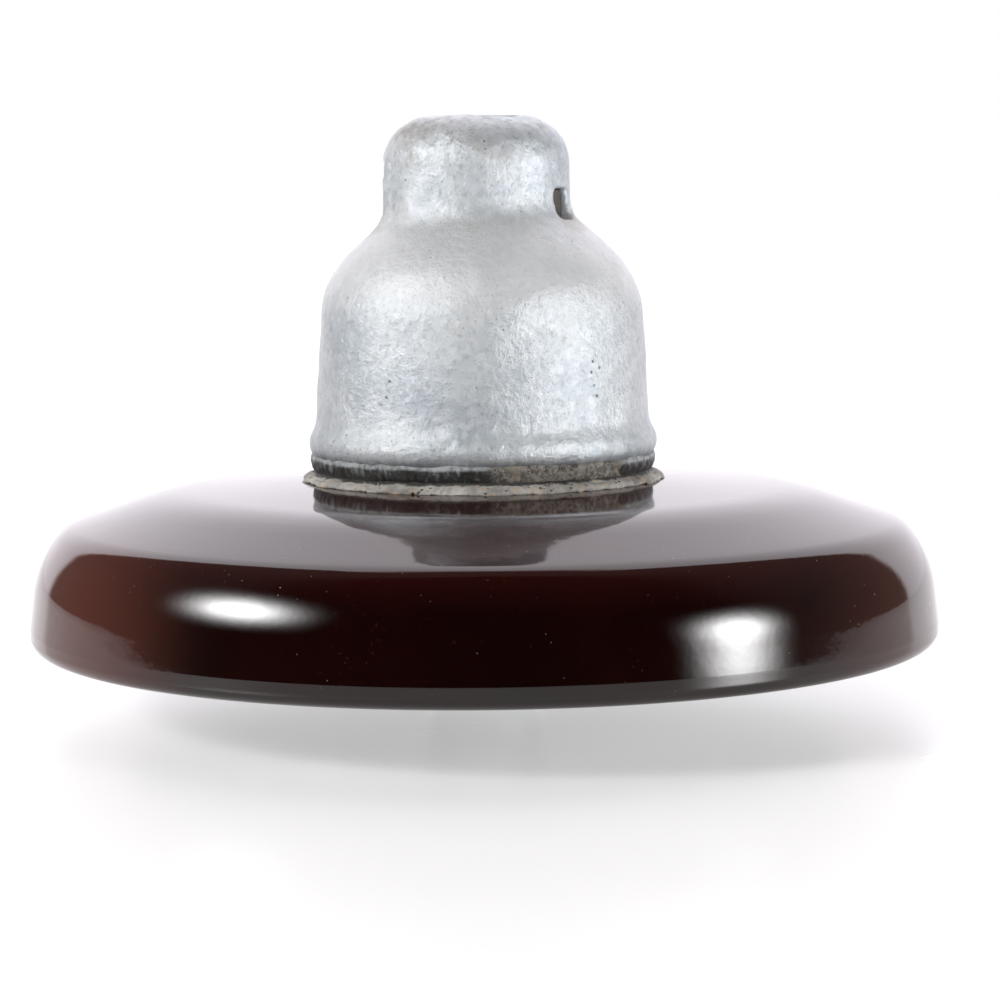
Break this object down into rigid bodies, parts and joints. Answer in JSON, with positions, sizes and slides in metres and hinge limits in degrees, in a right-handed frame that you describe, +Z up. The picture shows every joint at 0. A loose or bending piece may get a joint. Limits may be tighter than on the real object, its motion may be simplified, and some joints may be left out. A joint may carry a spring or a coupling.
{
  "type": "cap-and-pin suspension insulator",
  "caption": "Brown glazed porcelain disc insulator with a galvanised ball-and-socket cap, a ball pin underneath and a sliding locking clip.",
  "frame": {"origin": "centre of the pin ball's flat bottom, on the insulator's axis", "axes": "+Z up along the axis from the pin to the cap, +X from the socket's entry mouth towards the clip's window"},
  "size_m": [0.255, 0.255, 0.1645],
  "materials": {
    "glazed_porcelain": "high gloss dark brown glaze",
    "fired_sand": "coarse porcelain grit fired on",
    "cork": "pressed cork",
    "galvanised_casting": "hot-dip galvanised casting, satin with fine grain",
    "bitumen": "brushed-on bitumen",
    "cement": "portland cement mortar",
    "galvanised_steel": "hot-dip galvanised forging",
    "spring_strip": "rolled stainless spring strip"
  },
  "bodies": {
    "insulator": {"porcelain_shell": "glazed_porcelain", "head_sand_band": "fired_sand", "hole_sand_band": "fired_sand", "crown_cushion": "cork", "cap": "galvanised_casting", "cap_lining": "bitumen", "skirt_seal": "bitumen", "cap_cement": "cement", "pin": "galvanised_steel", "pin_coat": "bitumen", "pin_cushion": "cork", "pin_cement": "cement"},
    "clip": {"locking_clip": "spring_strip"}
  },
  "joints": [
    {"name": "clip_slide", "type": "slide", "parent": "insulator", "child": "clip", "axis": [1, 0, 0], "range_m": [0, 0.031]}
  ]
}
